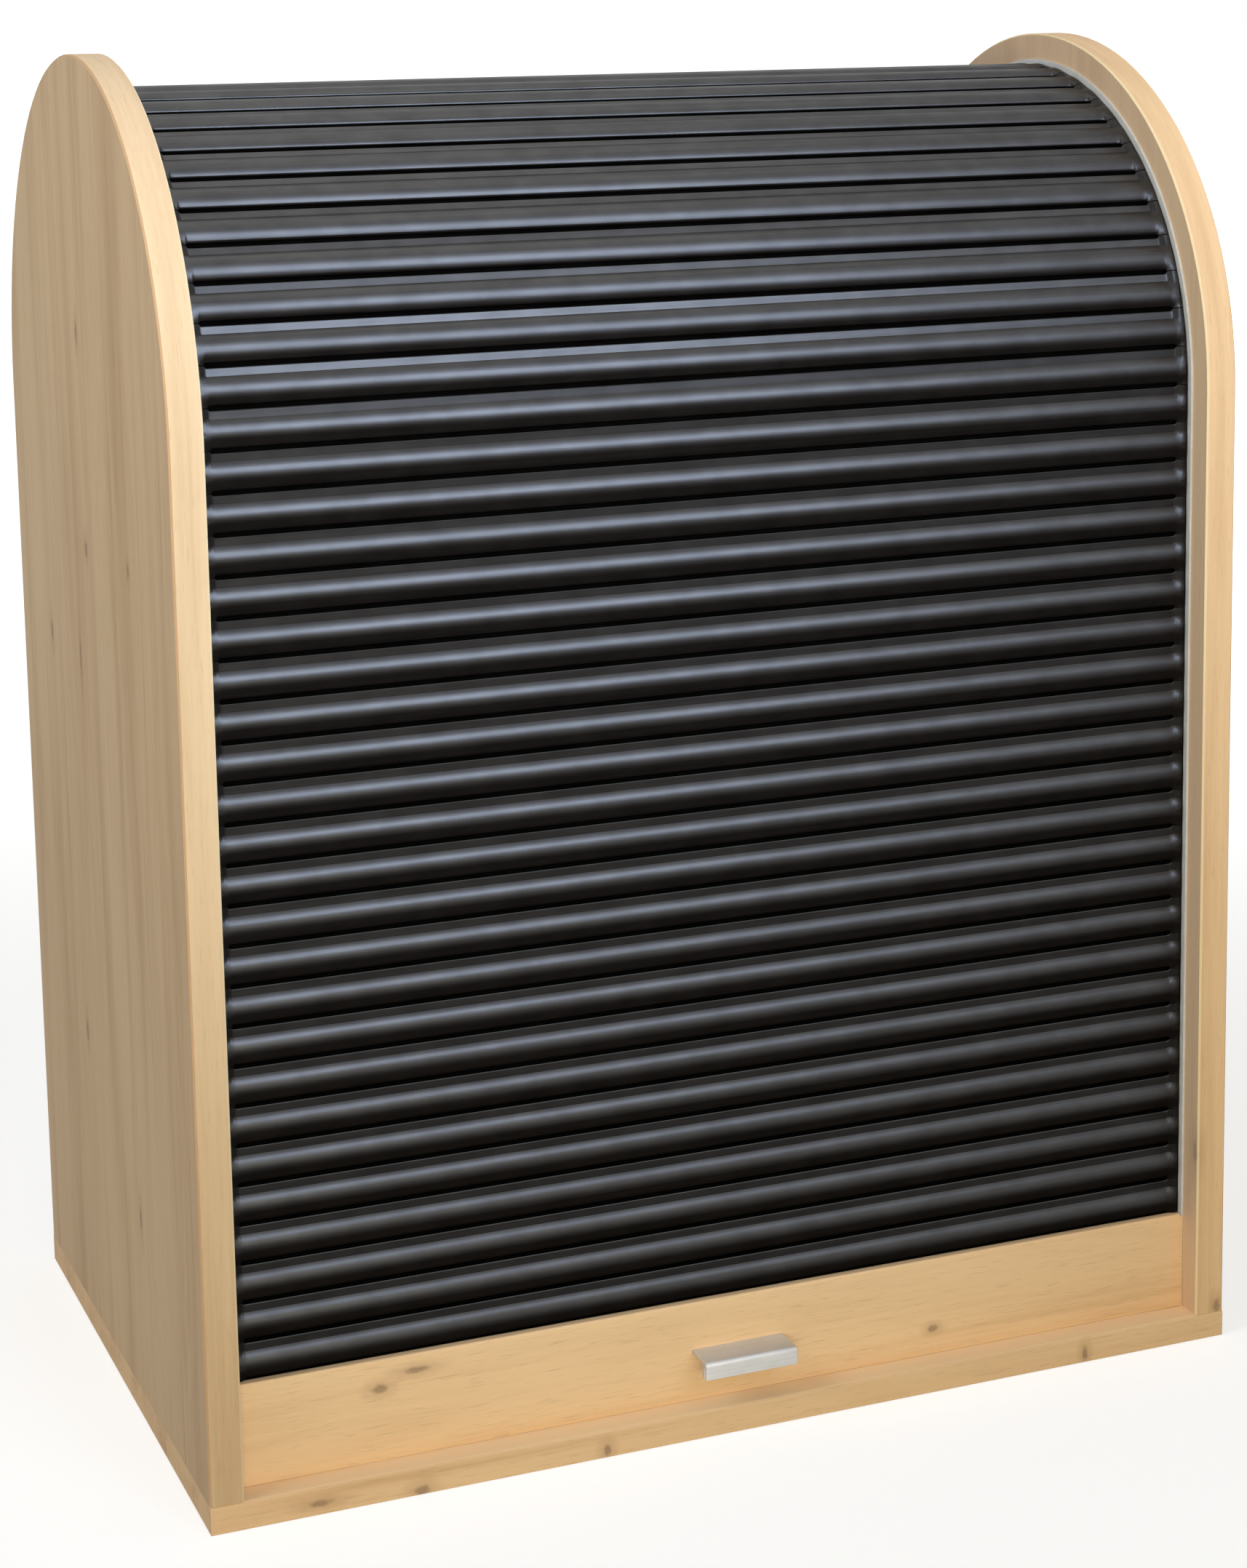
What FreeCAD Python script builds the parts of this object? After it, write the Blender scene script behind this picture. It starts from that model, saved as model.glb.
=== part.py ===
import FreeCAD, Part
import math
import os
import Sketcher

doc = FreeCAD.newDocument("tambour_door_cabinet")
sheet = doc.addObject("Spreadsheet::Sheet", "Sizes")
Vector = FreeCAD.Vector

# lengths in millimetres, counts as plain numbers
table = (
    ("cabinet_width", 600.0),
    ("cabinet_depth", 390.0),
    ("cabinet_height", 746.0),
    ("side_thick", 18.0),
    ("side_ease", 1.0),
    ("base_thick", 15.0),
    ("base_round", 1.5),
    ("track_inset", 15.2),
    ("track_front_wall", 3.6),
    ("track_slot", 4.4),
    ("track_rear_wall", 2.4),
    ("track_sunk", 8.0),
    ("track_proud", 1.2),
    ("track_floor", 1.5),
    ("track_play", 0.4),
    ("rear_run_step", 29.0),
    ("slat_pitch", 21.0),
    ("slat_gap", 1.8),
    ("slat_web", 1.6),
    ("rib_width", 14.4),
    ("rib_rise", 3.4),
    ("rib_lift", 0.2),
    ("rib_end_slope", 5.5),
    ("margin_width", 5.0),
    ("margin_rise", 1.4),
    ("edge_reach", 5.0),
    ("edge_tail", 4.0),
    ("single_slat_count", 24),
    ("paired_slat_count", 22),
    ("rail_height", 55.7),
    ("rail_thick", 12.0),
    ("rail_foot_gap", 0.3),
    ("rail_tongue", 3.0),
    ("rail_round", 1.2),
    ("rail_slot_depth", 8.0),
    ("rail_slot_play", 0.2),
    ("pull_width", 54.0),
    ("pull_depth", 20.0),
    ("pull_gauge", 2.0),
    ("pull_lip", 10.0),
    ("pull_flange", 17.0),
    ("pull_height", 29.0),
    ("pull_bend", 1.4),
    ("pull_screw_spacing", 32.0),
    ("pull_screw_drop", 10.0),
    ("pull_screw_diameter", 3.5),
    ("pull_screw_length", 9.0),
    ("pull_head_diameter", 7.0),
    ("pull_head_height", 2.2),
    ("back_thick", 3.5),
    ("back_setback", 7.5),
    ("back_rise", 50.0),
    ("groove_depth", 5.0),
    ("groove_play", 0.2),
    ("rear_rail_thick", 16.0),
    ("rear_rail_rise", 41.0),
    ("rear_rail_width", 24.0),
    ("inner_back_thick", 6.0),
    ("inner_back_clear", 9.0),
    ("inner_back_drop", 15.0),
    ("shelf_thick", 16.0),
    ("shelf_rise", 246.0),
    ("shelf_setback", 14.0),
    ("shelf_play", 0.8),
    ("pin_diameter", 5.0),
    ("pin_length", 16.0),
    ("pin_sunk", 9.0),
    ("pin_pitch", 32.0),
    ("pin_level_count", 2),
    ("pin_inset", 37.0),
    ("dowel_diameter", 8.0),
    ("dowel_length", 30.0),
    ("dowel_sunk", 10.0),
    ("dowel_inset", 60.0),
    ("hole_play", 0.1),
)
for row, (alias, number) in enumerate(table, 1):
    sheet.set("A%d" % row, alias)
    sheet.set("B%d" % row, repr(number))
    sheet.setAlias("B%d" % row, alias)
doc.recompute()


class Size:
    # a sheet value, or a sum of them, as expression text and as a number
    def __init__(self, text, number):
        self.text = text
        self.number = number

    def __add__(self, other):
        return Size("(%s + %s)" % (self.text, other.text), self.number + other.number)

    def __sub__(self, other):
        return Size("(%s - %s)" % (self.text, other.text), self.number - other.number)

    def __neg__(self):
        return Size("(0 - %s)" % self.text, -self.number)

    def __mul__(self, count):
        return Size("(%s * %d)" % (self.text, count), self.number * count)

    def __truediv__(self, count):
        return Size("(%s / %d)" % (self.text, count), self.number / count)


def size(alias):
    return Size("Sizes." + alias, float(sheet.get(alias)))


none = Size("0", 0.0)

width = size("cabinet_width")
depth = size("cabinet_depth")
side_thick = size("side_thick")
base_thick = size("base_thick")
arch_radius = depth / 2
arch_z = size("cabinet_height") - arch_radius
inner_x = width / 2 - side_thick

# the shutter line: front run, front quarter, tighter rear quarter, rear run
slot = size("track_slot")
front_wall = size("track_front_wall")
rear_wall = size("track_rear_wall")
proud = size("track_proud")
sunk = size("track_sunk")
front_radius = arch_radius - size("track_inset") - front_wall - slot / 2
rear_radius = front_radius - size("rear_run_step")
rear_arch_z = arch_z + size("rear_run_step")
track_face_x = inner_x - proud

pitch = size("slat_pitch")
gap = size("slat_gap")
web = size("slat_web")
rail_front = arch_radius - size("track_inset")
rail_bottom = base_thick + size("rail_foot_gap")
rail_height = size("rail_height")
rail_top = rail_bottom + rail_height
running_x = track_face_x - size("track_play")


def new_body(name):
    body = doc.addObject("PartDesign::Body", name)
    body.Label = name
    return body


def place(thing, x=none, y=none, z=none):
    for axis, amount in zip("xyz", (x, y, z)):
        thing.setExpression("Placement.Base." + axis, amount.text)


def new_sketch(body, name, role, x=none, y=none, lift=none):
    sketch = body.newObject("Sketcher::SketchObject", body.Name + "_" + name)
    plane = next(item for item in body.Origin.OriginFeatures if item.Role == role)
    sketch.AttachmentSupport = (plane, [""])
    sketch.MapMode = "FlatFace"
    for axis, amount in zip("xyz", (x, y, lift)):
        sketch.setExpression("AttachmentOffset.Base." + axis, amount.text)
    return sketch


def tie(sketch, *words):
    return sketch.addConstraint(Sketcher.Constraint(*words))


def hold(sketch, amount, *words):
    index = tie(sketch, *words, amount.number)
    sketch.setExpression("Constraints[%d]" % index, amount.text)


def hold_point(sketch, geometry, point, x, y):
    for kind, amount, axis in (("DistanceX", x, -2), ("DistanceY", y, -1)):
        if amount.number > 0:
            hold(sketch, amount, kind, -1, 1, geometry, point)
        elif amount.number < 0:
            hold(sketch, -amount, kind, geometry, point, -1, 1)
        else:
            tie(sketch, "PointOnObject", geometry, point, axis)


def outline(sketch, moves):
    # a closed run of level and upright lines from the sketch's origin
    points = [Vector()]
    for axis, sign, amount in moves:
        step = Vector(amount.number * sign, 0, 0) if axis == "x" else Vector(0, amount.number * sign, 0)
        points.append(points[-1] + step)
    points[-1] = points[0]
    first = sketch.GeometryCount
    count = len(moves)
    for start, end in zip(points, points[1:]):
        sketch.addGeometry(Part.LineSegment(start, end), False)
    for index, (axis, sign, amount) in enumerate(moves):
        line = first + index
        tie(sketch, "Coincident", line, 2, first + (index + 1) % count, 1)
        tie(sketch, "Horizontal" if axis == "x" else "Vertical", line)
        if index < count - 2:
            ends = (1, 2) if sign > 0 else (2, 1)
            kind = "DistanceX" if axis == "x" else "DistanceY"
            hold(sketch, amount, kind, line, ends[0], line, ends[1])
    tie(sketch, "Coincident", first, 1, -1, 1)


def rectangle(sketch, wide, high):
    outline(sketch, (("x", 1, wide), ("y", 1, high), ("x", -1, wide), ("y", -1, high)))


def circles(sketch, centres, diameter):
    for x, y in centres:
        ring = Part.Circle(Vector(x.number, y.number, 0), Vector(0, 0, 1), diameter.number / 2)
        index = sketch.addGeometry(ring, False)
        hold_point(sketch, index, 3, x, y)
        hold(sketch, diameter / 2, "Radius", index)


def quarter(sketch, centre_y, radius, start):
    ring = Part.Circle(Vector(0, centre_y, 0), Vector(0, 0, 1), radius)
    return sketch.addGeometry(Part.ArcOfCircle(ring, start, start + math.pi / 2), False)


def upright(sketch, x, low, high):
    return sketch.addGeometry(Part.LineSegment(Vector(x, low, 0), Vector(x, high, 0)), False)


def band(sketch, outer, inner, front_drop, rear_drop):
    # a strip along the shutter line, between two offsets from it, with the sketch's origin at the arch axis
    step = size("rear_run_step")
    sides = []
    for offset in (outer, inner):
        near = front_radius + offset
        far = rear_radius + offset
        front = upright(sketch, -near.number, -front_drop.number, 0)
        first = quarter(sketch, 0, near.number, math.pi / 2)
        second = quarter(sketch, step.number, far.number, 0)
        rear = upright(sketch, far.number, step.number - rear_drop.number, step.number)
        tie(sketch, "Coincident", first, 3, -1, 1)
        tie(sketch, "PointOnObject", first, 1, -2)
        tie(sketch, "PointOnObject", first, 2, -1)
        hold(sketch, near, "Radius", first)
        tie(sketch, "Coincident", second, 2, first, 1)
        hold_point(sketch, second, 3, none, step)
        tie(sketch, "Horizontal", second, 3, second, 1)
        tie(sketch, "Coincident", front, 2, first, 2)
        tie(sketch, "Coincident", rear, 2, second, 1)
        tie(sketch, "Vertical", front)
        tie(sketch, "Vertical", rear)
        hold(sketch, front_drop, "DistanceY", front, 1, -1, 1)
        hold(sketch, rear_drop, "DistanceY", rear, 1, rear, 2)
        sides.append((front, rear))
    for one, two in zip(*sides):
        start = sketch.Geometry[one].StartPoint
        end = sketch.Geometry[two].StartPoint
        cap = sketch.addGeometry(Part.LineSegment(start, end), False)
        tie(sketch, "Coincident", cap, 1, one, 1)
        tie(sketch, "Coincident", cap, 2, two, 1)


def pad(body, sketch, length):
    feature = body.newObject("PartDesign::Pad", sketch.Name + "_pad")
    feature.Profile = sketch
    feature.setExpression("Length", length.text)
    return feature


def cut(body, sketch, length, along_normal):
    feature = body.newObject("PartDesign::Pocket", sketch.Name + "_cut")
    feature.Profile = sketch
    feature.Reversed = along_normal
    feature.setExpression("Length", length.text)
    return feature


def dress_edges(body, chosen, kind, measure, amount):
    doc.recompute()
    tip = body.Tip
    names = ["Edge%d" % (k + 1) for k, edge in enumerate(tip.Shape.Edges) if chosen(edge)]
    feature = body.newObject("PartDesign::" + kind, body.Name + "_edges")
    feature.Base = (tip, names)
    feature.setExpression(measure, amount.text)


def round_edges(body, radius, chosen):
    dress_edges(body, chosen, "Fillet", "Radius", radius)


def ease_edges(body, amount, chosen):
    dress_edges(body, chosen, "Chamfer", "Size", amount)


def board(name, x, y, z, wide, deep, high):
    body = new_body(name)
    sketch = new_sketch(body, "plan", "XY_Plane", x, y, z)
    rectangle(sketch, wide, deep)
    pad(body, sketch, high)
    return body


nodes = []

# base board, the full width under both sides, doweled to them
dowel_y = arch_radius - size("dowel_inset")
dowel_x = width / 2 - side_thick / 2
dowel_places = [(x, y) for x in (-dowel_x, dowel_x) for y in (-dowel_y, dowel_y)]
dowel_hole = size("dowel_diameter") + size("hole_play")
base = board("base_panel", -(width / 2), -arch_radius, none, width, depth, base_thick)
base_holes = new_sketch(base, "dowel_holes", "XY_Plane", none, none, base_thick)
circles(base_holes, dowel_places, dowel_hole)
cut(base, base_holes, size("dowel_sunk") + size("hole_play"), False)
front_face = -arch_radius.number
top_face = base_thick.number
tiny = size("hole_play").number


def base_front_edge(edge):
    middle = edge.CenterOfMass
    return abs(middle.y - front_face) < tiny and abs(middle.z - top_face) < tiny


round_edges(base, size("base_round"), base_front_edge)
nodes.append(base)
dowels = doc.addObject("Part::Compound", "base_dowels")
dowel_list = []
for x, y in dowel_places:
    dowel = doc.addObject("Part::Cylinder", "base_dowel")
    dowel.setExpression("Radius", (size("dowel_diameter") / 2).text)
    dowel.setExpression("Height", size("dowel_length").text)
    place(dowel, x, y, base_thick - size("dowel_sunk"))
    dowel_list.append(dowel)
dowels.Links = dowel_list
dowels.Label = "base_dowels"
nodes.append(dowels)

# back board, inner back board and the rear top rail
back_rear = arch_radius - size("back_setback")
back_front = back_rear - size("back_thick")
back_top = arch_z + size("back_rise")
housing = size("groove_depth") - size("groove_play")
housed_width = (inner_x + housing) * 2
back_high = back_top - base_thick
nodes.append(board("back_panel", -(inner_x + housing), back_front, base_thick,
                   housed_width, size("back_thick"), back_high))
inner_back_rear = rear_radius - size("inner_back_clear")
inner_back_front = inner_back_rear - size("inner_back_thick")
inner_back_high = arch_z - size("inner_back_drop") - base_thick
nodes.append(board("inner_back_panel", -(inner_x + housing), inner_back_front, base_thick,
                   housed_width, size("inner_back_thick"), inner_back_high))
nodes.append(board("rear_top_rail", -inner_x, back_front - size("rear_rail_width"), arch_z + size("rear_rail_rise"),
                   inner_x * 2, size("rear_rail_width"), size("rear_rail_thick")))

# shelf on four pins
shelf_z = base_thick + size("shelf_rise")
shelf_front = -front_radius + size("shelf_setback")
shelf_deep = inner_back_front - size("shelf_play") - shelf_front
shelf_half = inner_x - size("shelf_play")
nodes.append(board("shelf", -shelf_half, shelf_front, shelf_z, shelf_half * 2, shelf_deep, size("shelf_thick")))
pin_z = shelf_z - size("pin_diameter") / 2
pin_front = shelf_front + size("pin_inset")
pin_rear = inner_back_front - size("pin_inset")
pin_end = inner_x + size("pin_sunk")
pins = doc.addObject("Part::Compound", "shelf_pins")
pin_list = []
for side in (-1, 1):
    for pin_y in (pin_front, pin_rear):
        pin = doc.addObject("Part::Cylinder", "shelf_pin")
        pin.setExpression("Radius", (size("pin_diameter") / 2).text)
        pin.setExpression("Height", size("pin_length").text)
        pin.Placement.Rotation = FreeCAD.Rotation(Vector(0, 1, 0), math.degrees(math.pi / 2) * -side)
        place(pin, pin_end * side, pin_y, pin_z)
        pin_list.append(pin)
pins.Links = pin_list
pins.Label = "shelf_pins"
nodes.append(pins)


# side boards: straight sides under a half-round top, grooved inside
def side_outline(sketch):
    left = upright(sketch, -arch_radius.number, -(arch_z - base_thick).number, 0)
    right = upright(sketch, arch_radius.number, -(arch_z - base_thick).number, 0)
    ring = Part.Circle(Vector(), Vector(0, 0, 1), arch_radius.number)
    top = sketch.addGeometry(Part.ArcOfCircle(ring, 0, math.pi), False)
    start = sketch.Geometry[left].StartPoint
    end = sketch.Geometry[right].StartPoint
    foot = sketch.addGeometry(Part.LineSegment(start, end), False)
    tie(sketch, "Coincident", top, 3, -1, 1)
    tie(sketch, "PointOnObject", top, 1, -1)
    tie(sketch, "PointOnObject", top, 2, -1)
    hold(sketch, arch_radius, "Radius", top)
    tie(sketch, "Coincident", left, 2, top, 2)
    tie(sketch, "Coincident", right, 2, top, 1)
    tie(sketch, "Coincident", foot, 1, left, 1)
    tie(sketch, "Coincident", foot, 2, right, 1)
    tie(sketch, "Vertical", left)
    tie(sketch, "Vertical", right)
    tie(sketch, "Horizontal", foot)
    hold(sketch, arch_z - base_thick, "DistanceY", left, 1, left, 2)


def side_rim(edge):
    return edge.BoundBox.XLength < tiny and edge.CenterOfMass.z > top_face + tiny


def side_panel(name, side):
    body = new_body(name)
    start = inner_x if side > 0 else -(width / 2)
    face = inner_x * side
    along = side > 0
    board_sketch = new_sketch(body, "outline", "YZ_Plane", none, arch_z, start)
    side_outline(board_sketch)
    pad(body, board_sketch, side_thick)
    ease_edges(body, size("side_ease"), side_rim)
    track_sketch = new_sketch(body, "track_groove", "YZ_Plane", none, arch_z, face)
    band(track_sketch, slot / 2 + front_wall, -(slot / 2 + rear_wall), arch_z - base_thick, rear_arch_z - base_thick)
    cut(body, track_sketch, sunk, along)
    grooves = (("back_groove", back_front, size("back_thick"), back_high),
               ("inner_back_groove", inner_back_front, size("inner_back_thick"), inner_back_high))
    for label, low_y, thick, high in grooves:
        groove = new_sketch(body, label, "YZ_Plane", low_y - size("groove_play"), base_thick, face)
        rectangle(groove, thick + size("groove_play") * 2, high + size("groove_play"))
        cut(body, groove, size("groove_depth"), along)
    levels = range(int(size("pin_level_count").number))
    holes = [(y, size("pin_pitch") * level) for y in (pin_front, pin_rear) for level in levels]
    pin_sketch = new_sketch(body, "pin_holes", "YZ_Plane", none, pin_z, face)
    circles(pin_sketch, holes, size("pin_diameter") + size("hole_play"))
    cut(body, pin_sketch, size("pin_sunk") + size("hole_play"), along)
    foot_sketch = new_sketch(body, "dowel_holes", "XY_Plane", none, none, base_thick)
    circles(foot_sketch, [(dowel_x * side, y) for y in (-dowel_y, dowel_y)], dowel_hole)
    cut(body, foot_sketch, size("dowel_length") - size("dowel_sunk") + size("hole_play"), True)
    return body


nodes.append(side_panel("side_panel_left", -1))
nodes.append(side_panel("side_panel_right", 1))


# plastic guide tracks let into the sides
def guide_track(name, side):
    body = new_body(name)
    start = track_face_x if side > 0 else -(inner_x + sunk)
    shell = new_sketch(body, "shell", "YZ_Plane", none, arch_z, start)
    band(shell, slot / 2 + front_wall, -(slot / 2 + rear_wall), arch_z - base_thick, rear_arch_z - base_thick)
    pad(body, shell, proud + sunk)
    channel = new_sketch(body, "channel", "YZ_Plane", none, arch_z, track_face_x * side)
    band(channel, slot / 2, -(slot / 2), arch_z - base_thick, rear_arch_z - base_thick)
    cut(body, channel, proud + sunk - size("track_floor"), side > 0)
    return body


nodes.append(guide_track("guide_track_left", -1))
nodes.append(guide_track("guide_track_right", 1))


def screw(name, shank, length, head, head_high):
    # axis along +Z from the outer end of the head
    parts = []
    for diameter, tall in ((shank, length), (head, head_high)):
        rod = doc.addObject("Part::Cylinder", name + "_rod")
        rod.setExpression("Radius", (diameter / 2).text)
        rod.setExpression("Height", tall.text)
        parts.append(rod)
    whole = doc.addObject("Part::MultiFuse", name)
    whole.Shapes = parts
    return whole


# bottom rail of the shutter, its ends tongued into the tracks
rail = new_body("door_rail")
face_sketch = new_sketch(rail, "face", "YZ_Plane", -rail_front, rail_bottom, -running_x)
rectangle(face_sketch, size("rail_thick"), rail_height)
pad(rail, face_sketch, running_x * 2)
tongue_x = inner_x + size("edge_reach")
tongue_sketch = new_sketch(rail, "tongue", "YZ_Plane", -front_radius - size("rail_tongue") / 2, rail_bottom, -tongue_x)
rectangle(tongue_sketch, size("rail_tongue"), rail_height)
pad(rail, tongue_sketch, tongue_x * 2)
slot_wide = web + size("rail_slot_play") * 2
slot_sketch = new_sketch(rail, "slot", "YZ_Plane", -front_radius - slot_wide / 2, rail_top - size("rail_slot_depth"),
                         -tongue_x)
rectangle(slot_sketch, slot_wide, size("rail_slot_depth"))
cut(rail, slot_sketch, tongue_x * 2, True)
pull_z = rail_bottom + size("pull_height")
pull_screw_z = pull_z - size("pull_screw_drop")
pull_screw_x = size("pull_screw_spacing") / 2
pull_holes = [(-pull_screw_x, none), (pull_screw_x, none)]
pilot_deep = size("pull_screw_length")
rail_pilots = new_sketch(rail, "pull_pilots", "XZ_Plane", none, pull_screw_z, rail_front)
circles(rail_pilots, pull_holes, size("pull_screw_diameter") + size("hole_play"))
cut(rail, rail_pilots, pilot_deep, False)
rail_face_y = -rail_front.number
rail_levels = (rail_bottom.number, rail_top.number)


def rail_front_edge(edge):
    middle = edge.CenterOfMass
    level = min(abs(middle.z - z) for z in rail_levels)
    return abs(middle.y - rail_face_y) < tiny and level < tiny


round_edges(rail, size("rail_round"), rail_front_edge)
nodes.append(rail)

# angle pull: flange on the rail, level plate, lip turned down
pull = new_body("pull_handle")
gauge = size("pull_gauge")
pull_depth = size("pull_depth")
pull_sketch = new_sketch(pull, "section", "YZ_Plane", none, none, -(size("pull_width") / 2))
outline(pull_sketch, (
    ("x", -1, pull_depth),
    ("y", -1, size("pull_lip")),
    ("x", 1, gauge),
    ("y", 1, size("pull_lip") - gauge),
    ("x", 1, pull_depth - gauge * 2),
    ("y", -1, size("pull_flange") - gauge),
    ("x", 1, gauge),
    ("y", 1, size("pull_flange")),
))
pad(pull, pull_sketch, size("pull_width"))
flange_holes = new_sketch(pull, "flange_holes", "XZ_Plane", none, -size("pull_screw_drop"), none)
circles(flange_holes, pull_holes, size("pull_screw_diameter") + size("hole_play"))
cut(pull, flange_holes, gauge, True)
lip_y = -pull_depth.number


def pull_bend_edge(edge):
    middle = edge.CenterOfMass
    return abs(middle.y - lip_y) < tiny and abs(middle.z) < tiny


round_edges(pull, size("pull_bend"), pull_bend_edge)
place(pull, none, -rail_front, pull_z)
nodes.append(pull)
pull_screws = doc.addObject("Part::Compound", "pull_screws")
pull_screw_list = []
for x, level in pull_holes:
    item = screw("pull_screw", size("pull_screw_diameter"), size("pull_screw_length"),
                 size("pull_head_diameter"), size("pull_head_height"))
    item.Placement.Rotation = FreeCAD.Rotation(Vector(0, 0, 1), Vector(0, 1, 0))
    place(item, x, -rail_front - gauge - size("pull_head_height"), pull_screw_z)
    pull_screw_list.append(item)
pull_screws.Links = pull_screw_list
pull_screws.Label = "pull_screws"
nodes.append(pull_screws)


# flexible edges of the shutter, running inside the tracks
def shutter_edge(name, side):
    body = new_body(name)
    start = track_face_x if side > 0 else -tongue_x
    strip = new_sketch(body, "strip", "YZ_Plane", none, arch_z, start)
    band(strip, web / 2, -(web / 2), arch_z - rail_top - gap / 2, size("edge_tail"))
    pad(body, strip, proud + size("edge_reach"))
    return body


nodes.append(shutter_edge("shutter_edge_left", -1))
nodes.append(shutter_edge("shutter_edge_right", 1))


# slats: a thin web with a rounded rib at its foot, the rib's ends sloped, and a raised margin beside each track
def slat(name, extra):
    body = new_body(name)
    long_web = running_x * 2
    web_high = pitch - gap
    web_sketch = new_sketch(body, "web", "YZ_Plane", -(web / 2), -(web_high / 2) - extra, -running_x)
    rectangle(web_sketch, web, web_high + extra)
    pad(body, web_sketch, long_web)
    margin = size("margin_width")
    rib_half = running_x - margin
    rise = size("rib_rise")
    half_chord = size("rib_width") / 2
    rib_centre = size("rib_lift") + half_chord - web_high / 2
    rib_sketch = new_sketch(body, "rib", "YZ_Plane", -(web / 2), rib_centre, -rib_half)
    low = Vector(0, -half_chord.number, 0)
    high = Vector(0, half_chord.number, 0)
    chord = rib_sketch.addGeometry(Part.LineSegment(low, high), False)
    crown = rib_sketch.addGeometry(Part.Arc(high, Vector(-rise.number, 0, 0), low), False)
    tie(rib_sketch, "Coincident", crown, 1, chord, 2)
    tie(rib_sketch, "Coincident", crown, 2, chord, 1)
    tie(rib_sketch, "Vertical", chord)
    tie(rib_sketch, "Symmetric", chord, 1, chord, 2, -1, 1)
    hold(rib_sketch, size("rib_width"), "DistanceY", chord, 1, chord, 2)
    radius = (half_chord.number ** 2 + rise.number ** 2) / (2 * rise.number)
    radius_text = "((%s) ^ 2 + (%s) ^ 2) / (2 * %s)" % (half_chord.text, rise.text, rise.text)
    hold(rib_sketch, Size(radius_text, radius), "Radius", crown)
    pad(body, rib_sketch, rib_half * 2)
    for side in (-1, 1):
        slope = new_sketch(body, "slope", "XY_Plane", rib_half * side, -(web / 2), pitch / 2)
        tall = rise + web
        corners = (Vector(), Vector(0, -tall.number, 0), Vector(-side * size("rib_end_slope").number, -tall.number, 0))
        lines = [slope.addGeometry(Part.LineSegment(corners[k], corners[(k + 1) % 3]), False) for k in range(3)]
        for k in range(3):
            tie(slope, "Coincident", lines[k], 2, lines[(k + 1) % 3], 1)
        tie(slope, "Coincident", lines[0], 1, -1, 1)
        tie(slope, "Vertical", lines[0])
        tie(slope, "Horizontal", lines[1])
        hold(slope, tall, "DistanceY", lines[0], 2, lines[0], 1)
        ends = (2, 1) if side > 0 else (1, 2)
        hold(slope, size("rib_end_slope"), "DistanceX", lines[1], ends[0], lines[1], ends[1])
        cut(body, slope, pitch, False)
    for start in (-running_x, rib_half):
        band_sketch = new_sketch(body, "margin", "YZ_Plane", -(web / 2) - size("margin_rise"), -(web_high / 2), start)
        rectangle(band_sketch, size("margin_rise"), web_high)
        pad(body, band_sketch, margin)
    return body


def shutter_place(run):
    # place on the shutter line, the run counted from where the front quarter starts
    near = front_radius.number
    far = rear_radius.number
    first = near * math.pi / 2
    whole = first + far * math.pi / 2
    if run < 0:
        turn = 0
        point = Vector(0, -near, arch_z.number + run)
    elif run < first:
        turn = run / near
        point = Vector(0, -near * math.cos(turn), arch_z.number + near * math.sin(turn))
    elif run < whole:
        turn = math.pi / 2 + (run - first) / far
        point = Vector(0, -far * math.cos(turn), rear_arch_z.number + far * math.sin(turn))
    else:
        turn = math.pi
        point = Vector(0, far, rear_arch_z.number - run + whole)
    return FreeCAD.Placement(point, FreeCAD.Rotation(Vector(1, 0, 0), -math.degrees(turn)))


def placed_slat(name, index, extra=none):
    body = slat(name, extra)
    run = rail_top.number - arch_z.number + pitch.number * (index + index - 1) / 2
    body.Placement = shutter_place(run)
    return body


singles = int(size("single_slat_count").number)
pairs = int(size("paired_slat_count").number) // 2
for index in range(1, singles + 1):
    extra = gap / 2 + size("rail_slot_depth") - size("rail_slot_play") if index == 1 else none
    nodes.append(placed_slat("shutter_slat_%02d" % index, index, extra))
for pair in range(pairs):
    index = singles + pair * 2 + 1
    members = [placed_slat("paired_slat_%02d" % k, k) for k in (index, index + 1)]
    both = doc.addObject("Part::Compound", "shutter_pair_%02d_%02d" % (index, index + 1))
    both.Label = both.Name
    both.Links = members
    nodes.append(both)

doc.recompute()

for item in doc.Objects:
    if "Invalid" in item.State or "Error" in item.State:
        raise RuntimeError("not built: " + item.Name)
os.makedirs("parts", exist_ok=True)
for node in nodes:
    shape = node.Shape
    if shape.isNull() or not shape.isValid() or not shape.Solids:
        raise RuntimeError("no sound solid: " + node.Label)
    shape.exportStep("parts/%s.step" % node.Label)
    print("%s: %d solid, %.0f mm3" % (node.Label, len(shape.Solids), shape.Volume))
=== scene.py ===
from math import cos, pi, radians, sin, sqrt
import bpy
import bmesh
from mathutils import Matrix, Vector


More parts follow.
